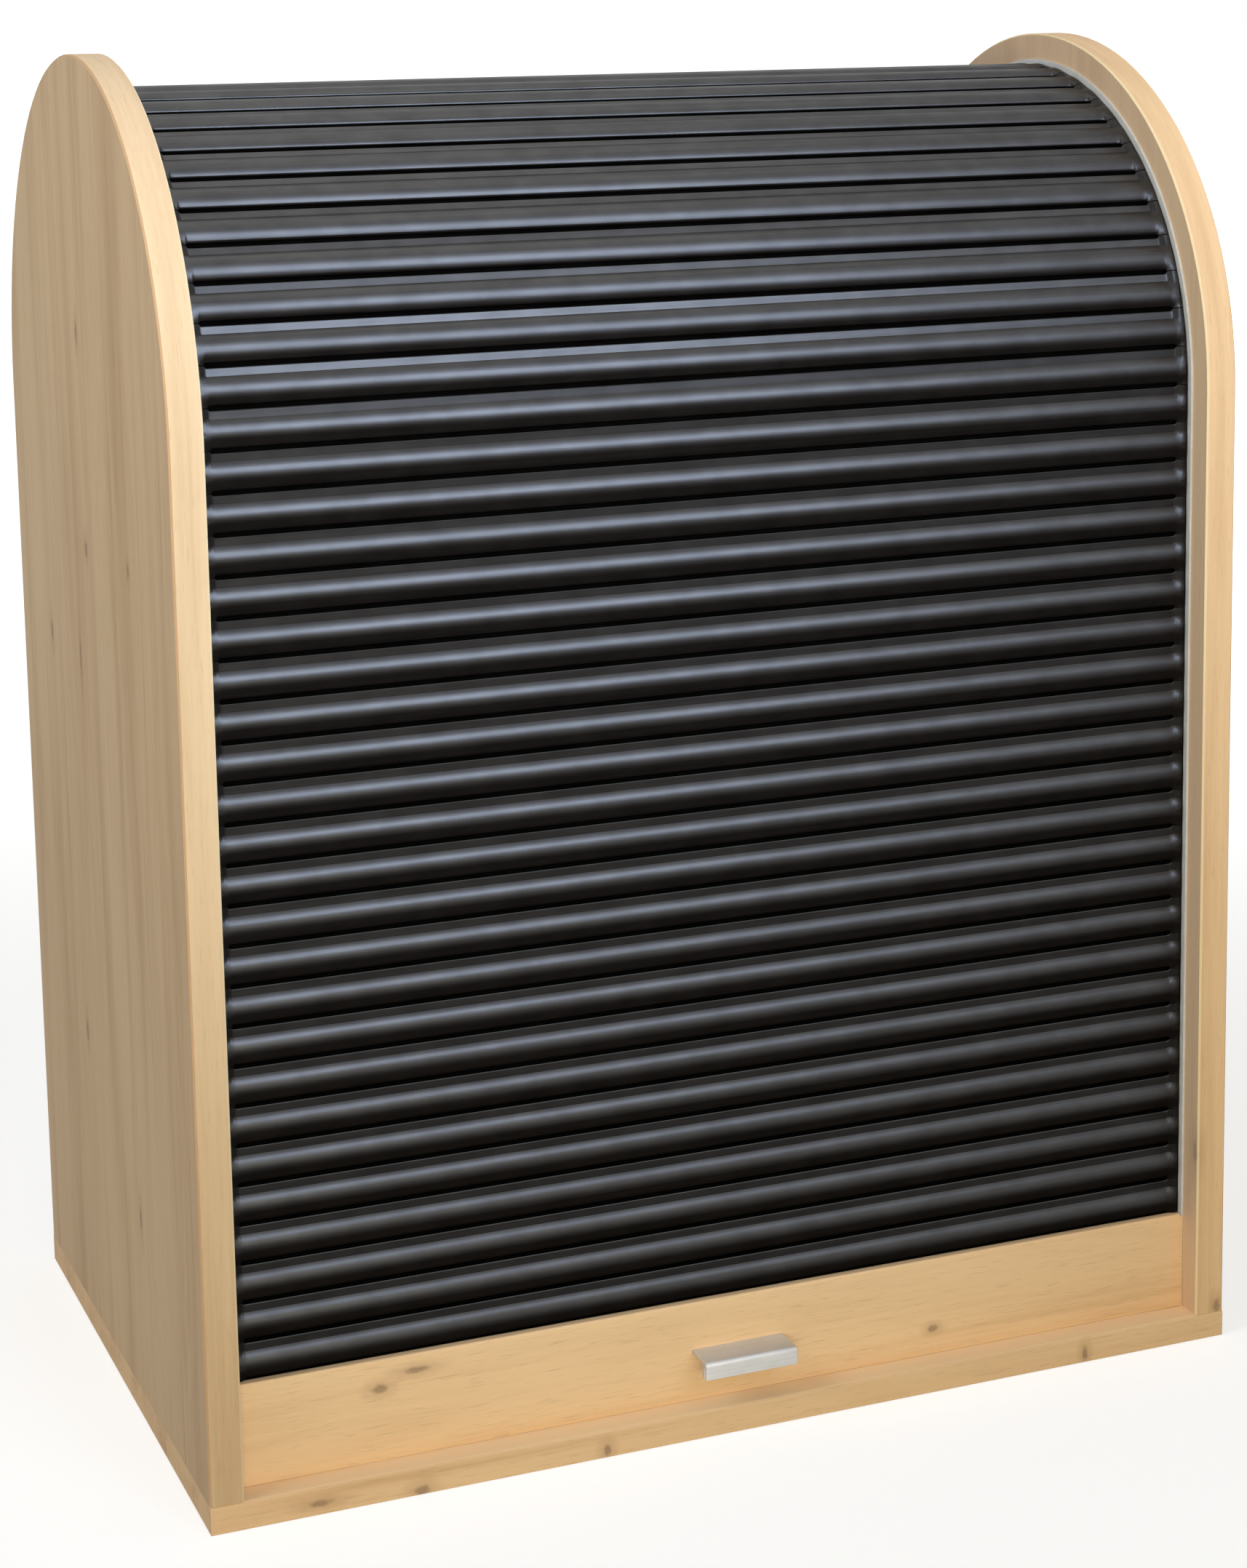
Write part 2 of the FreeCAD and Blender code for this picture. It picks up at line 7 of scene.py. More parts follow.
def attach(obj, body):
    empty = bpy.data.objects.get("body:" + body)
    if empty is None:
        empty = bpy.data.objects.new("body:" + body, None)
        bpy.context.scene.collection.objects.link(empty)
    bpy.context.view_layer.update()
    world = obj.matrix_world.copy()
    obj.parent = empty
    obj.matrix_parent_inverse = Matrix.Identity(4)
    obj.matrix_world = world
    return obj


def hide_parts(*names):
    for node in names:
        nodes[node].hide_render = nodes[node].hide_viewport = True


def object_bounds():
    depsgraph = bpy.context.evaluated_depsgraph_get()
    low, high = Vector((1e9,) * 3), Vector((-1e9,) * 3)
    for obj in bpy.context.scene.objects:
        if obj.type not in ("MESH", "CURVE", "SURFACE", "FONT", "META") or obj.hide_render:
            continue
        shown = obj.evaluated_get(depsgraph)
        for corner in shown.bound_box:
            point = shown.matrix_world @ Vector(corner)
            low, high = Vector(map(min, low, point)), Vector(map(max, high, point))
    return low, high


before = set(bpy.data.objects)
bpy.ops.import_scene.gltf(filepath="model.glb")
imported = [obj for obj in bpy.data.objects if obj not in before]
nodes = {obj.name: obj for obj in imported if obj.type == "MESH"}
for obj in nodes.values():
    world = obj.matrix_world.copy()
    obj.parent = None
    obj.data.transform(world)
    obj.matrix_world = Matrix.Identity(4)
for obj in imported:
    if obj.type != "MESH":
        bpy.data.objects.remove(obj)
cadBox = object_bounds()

mm = 0.001
scene = bpy.context.scene
colourMix = {"factor": 0, "first": 6, "second": 7, "result": 2}  # places of the Mix node's sockets
vectorMix = {"factor": 0, "first": 4, "second": 5, "result": 1}
print("frame loaded:", len(nodes), "CAD nodes")


def clamp(value, low=0.0, high=1.0):
    return max(low, min(high, value))


def ease(value):
    value = clamp(value)
    return value * value * (3 - 2 * value)


def meshPiece(name, bm, finishes, body, stands, sharp=35):
    bmesh.ops.recalc_face_normals(bm, faces=bm.faces)
    mesh = bpy.data.meshes.new(name)
    bm.to_mesh(mesh)
    bm.free()
    for finish in finishes:
        mesh.materials.append(finish)
    mesh.shade_smooth()
    mesh.set_sharp_from_angle(angle=radians(sharp))
    piece = bpy.data.objects.new(name, mesh)
    scene.collection.objects.link(piece)
    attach(piece, body)
    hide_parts(*stands)


def addNode(tree, kind, values=None, **settings):
    node = tree.nodes.new(kind)
    for key, value in settings.items():
        setattr(node, key, value)
    for key, value in (values or {}).items():
        node.inputs[key].default_value = value
    return node


def mathNode(tree, operation, first, second=None, third=None, clamped=False):
    node = addNode(tree, "ShaderNodeMath", operation=operation, use_clamp=clamped)
    for place, value in enumerate((first, second, third)):
        if value is None:
            continue
        if isinstance(value, (int, float)):
            node.inputs[place].default_value = value
        else:
            tree.links.new(value, node.inputs[place])
    return node.outputs[0]


def rangeNode(tree, value, low, high, toLow=0.0, toHigh=1.0):
    limits = {"From Min": low, "From Max": high, "To Min": toLow, "To Max": toHigh}
    node = addNode(tree, "ShaderNodeMapRange", limits, interpolation_type="SMOOTHSTEP")
    tree.links.new(value, node.inputs["Value"])
    return node.outputs["Result"]


def noiseNode(tree, vector, stretch, detail, roughness=0.5, distortion=0.0, move=(0, 0, 0)):
    place = addNode(tree, "ShaderNodeMapping", {"Scale": stretch, "Location": move})
    values = {"Scale": 1.0, "Detail": detail, "Roughness": roughness, "Distortion": distortion}
    noise = addNode(tree, "ShaderNodeTexNoise", values)
    tree.links.new(vector, place.inputs["Vector"])
    tree.links.new(place.outputs[0], noise.inputs["Vector"])
    return noise.outputs["Fac"]


def blendColour(tree, factor, first, second):
    node = addNode(tree, "ShaderNodeMix", data_type="RGBA")
    for key, value in (("factor", factor), ("first", first), ("second", second)):
        if hasattr(value, "is_linked"):
            tree.links.new(value, node.inputs[colourMix[key]])
        else:
            node.inputs[colourMix[key]].default_value = value
    return node.outputs[colourMix["result"]]


def tintWith(tree, mask, share, colour, tint):
    return blendColour(tree, mathNode(tree, "MULTIPLY", mask, share), colour, tint)


def normalParts(tree, kind):
    facing = addNode(tree, "ShaderNodeNewGeometry")
    parts = addNode(tree, "ShaderNodeSeparateXYZ")
    tree.links.new(facing.outputs[kind], parts.inputs[0])
    return parts.outputs


def seenDirectly(tree):
    # 1 for camera, mirror and glass rays, 0 for light that falls on surfaces
    path = addNode(tree, "ShaderNodeLightPath")
    seen = mathNode(tree, "ADD", path.outputs["Is Camera Ray"], path.outputs["Is Glossy Ray"])
    return mathNode(tree, "ADD", seen, path.outputs["Is Transmission Ray"], clamped=True)


def newGroup(name, inputs, outputs):
    group = bpy.data.node_groups.new(name, "ShaderNodeTree")
    for label, kind in inputs:
        group.interface.new_socket(name=label, in_out="INPUT", socket_type="NodeSocket" + kind)
    for label, kind in outputs:
        group.interface.new_socket(name=label, in_out="OUTPUT", socket_type="NodeSocket" + kind)
    given = group.nodes.new("NodeGroupInput").outputs
    return group, given, group.nodes.new("NodeGroupOutput").inputs


def useGroup(tree, group, vector, **values):
    node = addNode(tree, "ShaderNodeGroup", values, node_tree=group)
    tree.links.new(vector, node.inputs["Vector"])
    return node


def newMaterial(name, **values):
    material = bpy.data.materials.new(name)
    material.use_nodes = True
    tree = material.node_tree
    shader = tree.nodes["Principled BSDF"]
    for key, value in values.items():
        shader.inputs[key.replace("_", " ")].default_value = value
    spot = addNode(tree, "ShaderNodeTexCoord").outputs["Object"]
    return material, tree, shader, spot


def bumpFrom(tree, shader, height, strength, distance):
    bump = addNode(tree, "ShaderNodeBump", {"Strength": strength, "Distance": distance})
    tree.links.new(height, bump.inputs["Height"])
    tree.links.new(bump.outputs[0], shader.inputs["Normal"])


def paint(name, material):
    for slot in nodes[name].material_slots:
        slot.material = material


cameraView = {
    "eye": (-0.6457, -1.6553, 0.7683), "ahead": (0.365, 0.9175, -0.1583), "roll": -0.949,
    "lens": 71.53, "sensor": 36.0, "shift": (0.0, -0.18),
}
cameraData = bpy.data.cameras.new("photoCamera")
cameraData.lens = cameraView["lens"]
cameraData.sensor_width = cameraView["sensor"]
cameraData.shift_x, cameraData.shift_y = cameraView["shift"]
camera = bpy.data.objects.new("photoCamera", cameraData)
scene.collection.objects.link(camera)
turn = Vector(cameraView["ahead"]).to_track_quat("-Z", "Y").to_matrix().to_4x4()
roll = Matrix.Rotation(radians(cameraView["roll"]), 4, "Z")
camera.matrix_world = Matrix.Translation(cameraView["eye"]) @ turn @ roll
scene.camera = camera
scene.view_settings.view_transform = "Standard"

lamps = {  # spread in degrees: how far the box's grid lets the light fan out
    "keyBox": {"at": (0.2, -1.25, 1.1), "to": (-0.1, -0.17, 0.79), "size": (0.8, 0.75),
               "power": 3.7, "colour": (0.65, 0.765, 1.0), "spread": 55},
    "fillBox": {"at": (-0.5, -2.0, 0.42), "to": (0.05, -0.18, 0.3), "size": (0.9, 0.5),
                "power": 14.0, "colour": (1.0, 0.92, 0.68), "spread": 180},
    "topBox": {"at": (0.1, 0.1, 1.9), "to": (0, 0, 0.7), "size": (1.2, 0.8),
               "power": 2.8, "colour": (1.0, 0.97, 0.94), "spread": 180},
    "sideBox": {"at": (-1.5, -0.4, 1.6), "to": (-0.3, 0, 0.74), "size": (0.9, 0.9),
                "power": 2.3, "colour": (0.86, 0.9, 0.98), "spread": 66},
}
for name, value in lamps.items():
    lampData = bpy.data.lights.new(name, "AREA")
    lampData.shape = "RECTANGLE"
    lampData.size, lampData.size_y = value["size"]
    lampData.energy = value["power"]
    lampData.color = value["colour"]
    lampData.spread = radians(value["spread"])
    lamp = bpy.data.objects.new(name, lampData)
    aim = Vector(value["to"]) - Vector(value["at"])
    lamp.matrix_world = Matrix.Translation(value["at"]) @ aim.to_track_quat("-Z", "Y").to_matrix().to_4x4()
    scene.collection.objects.link(lamp)

roomLight = {"ambient": (1.0, 0.985, 0.96, 1), "level": 0.28, "white": (1, 1, 1, 1)}
world = bpy.data.worlds.new("studio")
scene.world = world
world.use_nodes = True
tree = world.node_tree
soft = tree.nodes["Background"]
soft.inputs["Color"].default_value = roomLight["ambient"]
soft.inputs["Strength"].default_value = roomLight["level"]
white = addNode(tree, "ShaderNodeBackground", {"Color": roomLight["white"], "Strength": 1.0})
mix = addNode(tree, "ShaderNodeMixShader")
tree.links.new(seenDirectly(tree), mix.inputs[0])
tree.links.new(soft.outputs[0], mix.inputs[1])
tree.links.new(white.outputs[0], mix.inputs[2])
tree.links.new(mix.outputs[0], tree.nodes["World Output"].inputs["Surface"])

floorLook = {  # metres; the floor glows more the further it is from the cabinet
    "size": 60.0, "below": 0.0003, "colour": (0.62, 0.62, 0.61, 1), "rough": 0.9, "specular": 0.1,
    "near": 0.5, "far": 2.2, "nearGlow": 0.63, "farGlow": 1.0,
}
bm = bmesh.new()
bmesh.ops.create_grid(bm, x_segments=1, y_segments=1, size=floorLook["size"])
floorMesh = bpy.data.meshes.new("floor")
bm.to_mesh(floorMesh)
bm.free()
floor = bpy.data.objects.new("floor", floorMesh)
floor.location.z = cadBox[0][2] - floorLook["below"]
scene.collection.objects.link(floor)
material, tree, shader, spot = newMaterial("paleFloor", Base_Color=floorLook["colour"], Roughness=floorLook["rough"],
                                           Specular_IOR_Level=floorLook["specular"])
away = addNode(tree, "ShaderNodeVectorMath", operation="LENGTH")
tree.links.new(spot, away.inputs[0])
glow = rangeNode(tree, away.outputs["Value"], floorLook["near"], floorLook["far"],
                 floorLook["nearGlow"], floorLook["farGlow"])
lit = addNode(tree, "ShaderNodeEmission", {"Color": roomLight["white"]})
tree.links.new(mathNode(tree, "MULTIPLY", glow, seenDirectly(tree)), lit.inputs["Strength"])
both = addNode(tree, "ShaderNodeAddShader")
tree.links.new(shader.outputs[0], both.inputs[0])
tree.links.new(lit.outputs[0], both.inputs[1])
tree.links.new(both.outputs[0], tree.nodes["Material Output"].inputs["Surface"])
floorMesh.materials.append(material)
print("camera, lamps and floor set")

figureNoise = {  # stretch along and across the grain, detail, roughness, distortion, offset
    "broad": ((1.6, 34, 34), 4.0, 0.55, 0.25),
    "drift": ((2.2, 7, 7), 2.0, 0.5, 0.4, (3, 1, 7)),
    "ring": ((2.4, 17, 17), 1.5, 0.5, 0.35, (5, 2, 1)),
    "lines": ((3.0, 130, 130), 2.0, 0.5, 0.2, (2, 4, 9)),
    "fibre": ((14, 520, 520), 3.0, 0.6),
    "pores": ((70, 1500, 1500), 1.0),
}
figureRange = {"broad": (0.42, 0.72), "drift": (0.35, 0.7), "ringPatch": (0.45, 0.62), "lines": (0.55, 0.78),
               "fibre": (0.4, 0.75), "pores": (0.6, 0.72)}
figureShare = {"broad": 0.62, "lines": 0.35, "drift": 0.22, "ring": 0.14, "fibre": 0.16, "pores": 0.16,
               "halo": 0.28, "knot": 0.48}
figureColour = {"pores": (0.25, 0.13, 0.06, 1), "halo": (0.36, 0.2, 0.1, 1), "knot": (0.13, 0.078, 0.055, 1)}
figureSkin = {"rings": 62.0, "rough": 0.52, "fibreRough": 0.1, "poreRough": 0.08, "fibreHigh": 0.6, "poreHigh": -0.5}


def makeOakFigure():
    # grain runs along X of the vector, in metres
    group, given, out = newGroup(
        "oakFigure",
        [("Vector", "Vector"), ("Pale", "Color"), ("Streak", "Color"), ("Knot", "Float"), ("Halo", "Float")],
        [("Color", "Color"), ("Roughness", "Float"), ("Height", "Float")])
    noise = {key: noiseNode(group, given["Vector"], *values) for key, values in figureNoise.items()}
    mask = {key: rangeNode(group, noise[key], *figureRange[key])
            for key in ("broad", "drift", "lines", "fibre", "pores")}
    rings = mathNode(group, "SINE", mathNode(group, "MULTIPLY", noise["ring"], figureSkin["rings"]))
    rings = mathNode(group, "MULTIPLY_ADD", rings, 0.5, 0.5)
    mask["ring"] = mathNode(group, "MULTIPLY", rings, rangeNode(group, noise["drift"], *figureRange["ringPatch"]))
    tint = mathNode(group, "MULTIPLY", mask["broad"], figureShare["broad"])
    for key in ("lines", "drift", "ring", "fibre"):
        tint = mathNode(group, "MULTIPLY_ADD", mask[key], figureShare[key], tint, clamped=key == "fibre")
    colour = blendColour(group, tint, given["Pale"], given["Streak"])
    for key, where in (("pores", mask["pores"]), ("halo", given["Halo"]), ("knot", given["Knot"])):
        colour = tintWith(group, where, figureShare[key], colour, figureColour[key])
    group.links.new(colour, out["Color"])
    rough = mathNode(group, "MULTIPLY_ADD", mask["fibre"], figureSkin["fibreRough"], figureSkin["rough"])
    rough = mathNode(group, "MULTIPLY_ADD", mask["pores"], figureSkin["poreRough"], rough)
    group.links.new(rough, out["Roughness"])
    high = mathNode(group, "MULTIPLY", mask["pores"], figureSkin["poreHigh"])
    group.links.new(mathNode(group, "MULTIPLY_ADD", noise["fibre"], figureSkin["fibreHigh"], high), out["Height"])
    return group


knotLook = {"noise": ((260, 260, 260), 2.0), "ragged": 0.9, "middle": 0.45, "core": (1.05, 0.35), "halo": (2.9, 0.6)}


def makeKnotSpot():
    # one knot: a dark core in a soft halo, drawn out along the grain
    group, given, out = newGroup("knotSpot", [("Vector", "Vector"), ("Place", "Vector"), ("Spread", "Vector")],
                                 [("Core", "Float"), ("Halo", "Float")])
    offset = addNode(group, "ShaderNodeVectorMath", operation="SUBTRACT")
    share = addNode(group, "ShaderNodeVectorMath", operation="DIVIDE")
    reach = addNode(group, "ShaderNodeVectorMath", operation="LENGTH")
    group.links.new(given["Vector"], offset.inputs[0])
    group.links.new(given["Place"], offset.inputs[1])
    group.links.new(offset.outputs[0], share.inputs[0])
    group.links.new(given["Spread"], share.inputs[1])
    group.links.new(share.outputs[0], reach.inputs[0])
    ragged = noiseNode(group, given["Vector"], *knotLook["noise"])
    away = mathNode(group, "SUBTRACT", reach.outputs["Value"], knotLook["middle"])
    away = mathNode(group, "MULTIPLY_ADD", ragged, knotLook["ragged"], away)
    group.links.new(rangeNode(group, away, *knotLook["core"]), out["Core"])
    group.links.new(rangeNode(group, away, *knotLook["halo"]), out["Halo"])
    return group


skinLook = {"mottle": ((55, 90, 90), 3.0, 0.55), "lines": ((4, 900, 900), 2.0), "grit": ((2600, 2600, 2600), 1.0),
            "mottleShare": 0.6, "lineShare": 0.4, "range": (0.36, 0.64), "high": 0.5, "bumpDeep": 0.0002}


def makeMouldSkin():
    # fine moulded or drawn surface: soft mottling, faint lines along X
    group, given, out = newGroup(
        "mouldSkin",
        [("Vector", "Vector"), ("Low", "Color"), ("High", "Color"), ("Smoothest", "Float"), ("Roughest", "Float")],
        [("Color", "Color"), ("Roughness", "Float"), ("Height", "Float")])
    mottle, lines, grit = [noiseNode(group, given["Vector"], *skinLook[key]) for key in ("mottle", "lines", "grit")]
    mask = mathNode(group, "MULTIPLY", mottle, skinLook["mottleShare"])
    mask = rangeNode(group, mathNode(group, "MULTIPLY_ADD", lines, skinLook["lineShare"], mask), *skinLook["range"])
    group.links.new(blendColour(group, mask, given["Low"], given["High"]), out["Color"])
    span = mathNode(group, "SUBTRACT", given["Roughest"], given["Smoothest"])
    group.links.new(mathNode(group, "MULTIPLY_ADD", span, mask, given["Smoothest"]), out["Roughness"])
    high = mathNode(group, "MULTIPLY", lines, skinLook["high"])
    group.links.new(mathNode(group, "MULTIPLY_ADD", grit, skinLook["high"], high), out["Height"])
    return group


oakFigure = makeOakFigure()
knotSpot = makeKnotSpot()
mouldSkin = makeMouldSkin()

oakLook = {  # the ranges are parts of the surface normal
    "pale": (0.8, 0.55, 0.3, 1), "streak": (0.6, 0.37, 0.185, 1),
    "arch": (0.551, 0.195), "edgeLayer": 3.0,  # height of the arch's axis and its radius; depth of the edging's figure
    "face": (0.74, 0.78), "corner": (0.4, 0.55), "inner": (0.9, 0.97), "level": (0.8, 0.95),
    # painted shade on outer chamfers and inner faces, a painted highlight on inner chamfers, and painted light on faces
    # that look up
    "outerChamferShade": (0.56, 0.3, 0.13, 1), "outerChamferShadeShare": 0.55, "innerChamferHighlight": (0.95, 0.82, 0.5, 1), "innerChamferHighlightShare": 0.5,
    "inside": (0.58, 0.5, 0.44, 1), "insideShare": 0.34, "litTopColour": (0.98, 0.75, 0.47, 1),
    "specular": 0.07, "bump": 0.10, "bumpDeep": 0.0004,
}


def knotMasks(tree, vector, knots):
    core, halo = None, None
    for place, spread in knots:
        made = useGroup(tree, knotSpot, vector, Place=[v * mm for v in place], Spread=[v * mm for v in spread]).outputs
        core = made["Core"] if core is None else mathNode(tree, "MAXIMUM", core, made["Core"])
        halo = made["Halo"] if halo is None else mathNode(tree, "MAXIMUM", halo, made["Halo"])
    return core, halo


def edgingVector(tree, x, y, z):
    # the edging runs up the front, over the arch and down the back
    axis, radius = oakLook["arch"]
    over = mathNode(tree, "SUBTRACT", z, axis)
    angle = mathNode(tree, "ARCTAN2", over, mathNode(tree, "MULTIPLY", y, -1.0))
    run = mathNode(tree, "MULTIPLY", angle, radius)
    run = mathNode(tree, "MULTIPLY", run, mathNode(tree, "GREATER_THAN", over, 0.0))
    run = mathNode(tree, "ADD", run, mathNode(tree, "MINIMUM", z, axis))
    edge = addNode(tree, "ShaderNodeCombineXYZ", {"Z": oakLook["edgeLayer"]})
    tree.links.new(run, edge.inputs["X"])
    tree.links.new(x, edge.inputs["Y"])
    return edge.outputs[0]


def oakBoard(name, grain, knots=(), outward=0, move=(0, 0, 0), pale=None, streak=None, litTopShare=0.0):
    material, tree, shader, spot = newMaterial(name, Specular_IOR_Level=oakLook["specular"])
    parts = addNode(tree, "ShaderNodeSeparateXYZ")
    tree.links.new(spot, parts.inputs[0])
    x, y, z = parts.outputs
    order = {"X": (x, y, z), "Z": (z, y, x)}[grain]
    along = addNode(tree, "ShaderNodeCombineXYZ")
    for place, value in enumerate(order):
        tree.links.new(value, along.inputs[place])
    vector = along.outputs[0]
    if outward:
        normalX = normalParts(tree, "True Normal")["X"]
        choose = addNode(tree, "ShaderNodeMix", data_type="VECTOR")
        isFace = rangeNode(tree, mathNode(tree, "ABSOLUTE", normalX), *oakLook["face"])
        tree.links.new(isFace, choose.inputs[vectorMix["factor"]])
        tree.links.new(edgingVector(tree, x, y, z), choose.inputs[vectorMix["first"]])
        tree.links.new(vector, choose.inputs[vectorMix["second"]])
        vector = choose.outputs[vectorMix["result"]]
    shifted = addNode(tree, "ShaderNodeMapping", {"Location": move})
    tree.links.new(vector, shifted.inputs["Vector"])
    figure = useGroup(tree, oakFigure, shifted.outputs[0],
                      Pale=pale or oakLook["pale"], Streak=streak or oakLook["streak"])
    core, halo = knotMasks(tree, spot, knots)
    if core is not None:
        tree.links.new(core, figure.inputs["Knot"])
        tree.links.new(halo, figure.inputs["Halo"])
    colour = figure.outputs["Color"]
    if outward:  # eased corners: painted shade on the outer chamfer, a painted highlight on the inner chamfer, and painted shade, greyer, on the inner faces
        lean = mathNode(tree, "MULTIPLY", normalX, outward)
        (cornerLow, cornerHigh), (faceLow, faceHigh) = oakLook["corner"], oakLook["face"]
        outer = mathNode(tree, "MULTIPLY", rangeNode(tree, lean, cornerLow, cornerHigh),
                         rangeNode(tree, lean, faceHigh, faceLow))
        inner = mathNode(tree, "MULTIPLY", rangeNode(tree, lean, -cornerLow, -cornerHigh),
                         rangeNode(tree, lean, -faceHigh, -faceLow))
        # painted shade on the outer chamfer
        colour = tintWith(tree, outer, oakLook["outerChamferShadeShare"], colour, oakLook["outerChamferShade"])
        # painted highlight on the inner chamfer
        colour = tintWith(tree, inner, oakLook["innerChamferHighlightShare"], colour, oakLook["innerChamferHighlight"])
        # painted shade: the inner faces are greyer
        low, high = oakLook["inner"]
        onInnerFace = rangeNode(tree, lean, -low, -high, 0.0, oakLook["insideShare"])
        colour = blendColour(tree, onInnerFace, colour, oakLook["inside"])
    if litTopShare:  # painted light: faces that look up are made a little paler
        looksUp = rangeNode(tree, normalParts(tree, "True Normal")["Z"], *oakLook["level"], 0.0, litTopShare)
        colour = blendColour(tree, looksUp, colour, oakLook["litTopColour"])
    tree.links.new(colour, shader.inputs["Base Color"])
    tree.links.new(figure.outputs["Roughness"], shader.inputs["Roughness"])
    bumpFrom(tree, shader, figure.outputs["Height"], oakLook["bump"], oakLook["bumpDeep"])
    return material


sideKnots = {  # middle and half sizes in mm, read off the photograph on the outer face
    "left": [((-300, 8, 597), (3, 3, 8)), ((-300, -95, 483), (3, 2.5, 5)), ((-300, 6, 479), (3, 3.5, 6)),
             ((-300, 110, 415), (3, 3.5, 7)), ((-300, 33, 414), (3, 2, 14)), ((-300, 60, 190), (3, 3, 8)),
             ((-300, -60, 120), (3, 2.5, 9))],
    "right": [((296, -195, 18), (3, 4, 5)), ((282, -192, 113), (3, 3, 9)), ((300, 20, 520), (3, 3.5, 8)),
              ((300, -80, 300), (3, 3, 7)), ((300, 90, 150), (3, 3, 8))],
}
railKnots = [((-204, -180, 55), (5, 3, 3.2)), ((-184, -180, 62), (9, 3, 2.2)), ((120, -180, 30), (4, 3, 2.4))]
baseKnots = [((-187, -195, 2), (5, 3, 4)), ((-83, -195, 4), (3, 3, 4)), ((209, -195, 5), (2.4, 3, 5)),
             ((-242, -195, 6), (8, 3, 2.2))]
# the same oak is written darker on the left board, painted shade, and paler on the right board, the rail and the base,
# painted light
oakLeft = oakBoard("oakSideLeft", "Z", sideKnots["left"], -1.0, (0.3, 0.11, 0),
                   pale=(0.7, 0.505, 0.295, 1), streak=(0.53, 0.345, 0.184, 1))
oakRight = oakBoard("oakSideRight", "Z", sideKnots["right"], 1.0, (1.7, 0.53, 0),
                    pale=(0.85, 0.58, 0.315, 1), streak=(0.64, 0.39, 0.195, 1))
oakRail = oakBoard("oakRail", "X", railKnots, move=(0.2, 0.9, 0.1),
                   pale=(0.9, 0.63, 0.355, 1), streak=(0.71, 0.452, 0.235, 1))
oakBase = oakBoard("oakBase", "X", baseKnots, move=(2.2, 0.4, 0.7),
                   pale=(0.87, 0.607, 0.34, 1), streak=(0.68, 0.428, 0.22, 1), litTopShare=0.85)
oakShelf = oakBoard("oakShelf", "X", move=(4.1, 1.4, 0.2))
backBoard = oakBoard("backBoard", "Z", move=(6, 2, 1), pale=(0.74, 0.56, 0.37, 1), streak=(0.6, 0.41, 0.25, 1))
dowelWood = oakBoard("dowelWood", "Z", move=(8, 2, 1), pale=(0.66, 0.46, 0.27, 1), streak=(0.52, 0.33, 0.18, 1))


def skinMaterial(name, low, high, smooth, rough, bump, **values):
    material, tree, shader, spot = newMaterial(name, **values)
    skin = useGroup(tree, mouldSkin, spot, Low=low, High=high, Smoothest=smooth, Roughest=rough)
    tree.links.new(skin.outputs["Color"], shader.inputs["Base Color"])
    tree.links.new(skin.outputs["Roughness"], shader.inputs["Roughness"])
    bumpFrom(tree, shader, skin.outputs["Height"], bump, skinLook["bumpDeep"])
    return material


shutterLook = {  # the ranges are parts of the surface normal
    "low": (0.0065, 0.0054, 0.0047, 1), "high": (0.0095, 0.008, 0.007, 1), "lacquerRough": 0.375, "lacquerIndex": 1.63,
    # the coat ranges below are painted shade: less lacquer reflection by which way a face looks
    "thinnest": 0.82, "fullest": 1.0, "paintedShadeBelow": (-0.22, 0.47), "dull": 0.02, "paintedShadeAbove": (0.5, 0.9), "shadedAboveCoat": 0.75,
    "turned": (0.1, 0.4), "paintedEndShade": 0.4, "bump": 0.015,
    # the gap colours, darker than the slats, are black plastic and partly painted shade
    "gapLow": (0.0012, 0.0011, 0.001, 1), "gapHigh": (0.002, 0.0018, 0.0016, 1),
}


def lacquerBlack():
    # black plastic with a satin lacquer; painted shade cuts the lacquer's reflection on flanks that look down, on faces
    # that look up and at the rounded ends
    material, tree, shader, spot = newMaterial("shutterBlack", Specular_IOR_Level=0.0,
                                               Coat_IOR=shutterLook["lacquerIndex"],
                                               Coat_Roughness=shutterLook["lacquerRough"])
    skin = useGroup(tree, mouldSkin, spot, Low=shutterLook["low"], High=shutterLook["high"],
                    Smoothest=shutterLook["thinnest"], Roughest=shutterLook["fullest"])
    tree.links.new(skin.outputs["Color"], shader.inputs["Base Color"])
    normal = normalParts(tree, "Normal")
    # painted shade: less lacquer reflection on flanks that look down
    shadedCoatWeight = rangeNode(tree, normal["Z"], *shutterLook["paintedShadeBelow"], shutterLook["dull"], 1.0)
    # painted shade: less lacquer reflection on faces that look up
    upShade = rangeNode(tree, normal["Z"], *shutterLook["paintedShadeAbove"], 1.0, shutterLook["shadedAboveCoat"])
    # painted shade: less lacquer reflection at the rounded ends, against glints
    paintedEndShade = rangeNode(tree, mathNode(tree, "ABSOLUTE", normal["X"]), *shutterLook["turned"], 1.0, shutterLook["paintedEndShade"])
    for factor in (upShade, paintedEndShade, skin.outputs["Roughness"]):
        shadedCoatWeight = mathNode(tree, "MULTIPLY", shadedCoatWeight, factor)
    tree.links.new(shadedCoatWeight, shader.inputs["Coat Weight"])
    bumpFrom(tree, shader, skin.outputs["Height"], shutterLook["bump"], skinLook["bumpDeep"])
    return material


shutterBlack = lacquerBlack()
